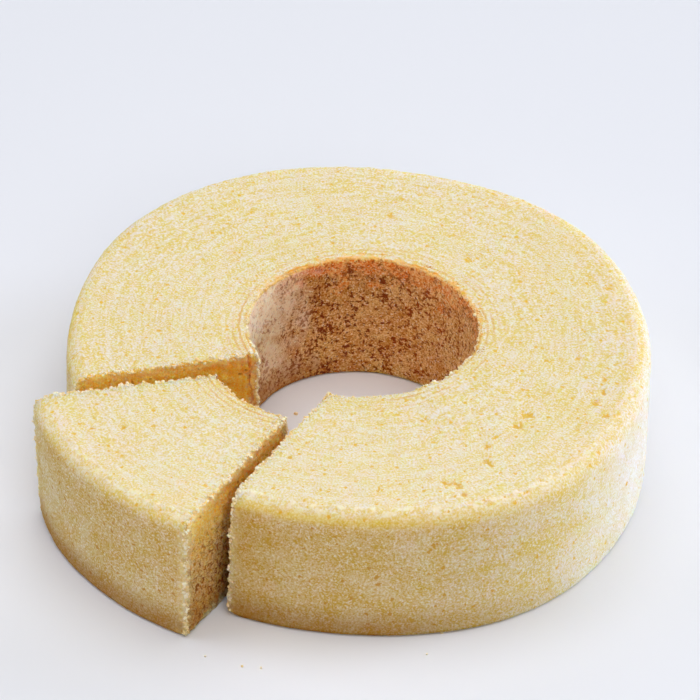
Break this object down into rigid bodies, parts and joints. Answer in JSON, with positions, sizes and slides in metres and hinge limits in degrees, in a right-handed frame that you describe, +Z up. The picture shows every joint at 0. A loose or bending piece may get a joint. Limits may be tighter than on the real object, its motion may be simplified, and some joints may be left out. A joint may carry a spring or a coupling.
{
  "type": "ring layer cake",
  "caption": "Ring-shaped sponge layer cake with a round hole, a level top and an upright wall, a wedge cut free and slid outwards.",
  "frame": {"origin": "middle of the footprint of the ring and the slice together, on the surface they lie on", "axes": "+Z up along the axis of the hole; the slice is slid out towards -X and -Y"},
  "size_m": [0.1542, 0.1556, 0.0368],
  "materials": {
    "sponge_crumb": "matte, fine open crumb"
  },
  "bodies": {
    "root": {"ring": "sponge_crumb", "slice": "sponge_crumb"}
  },
  "joints": []
}
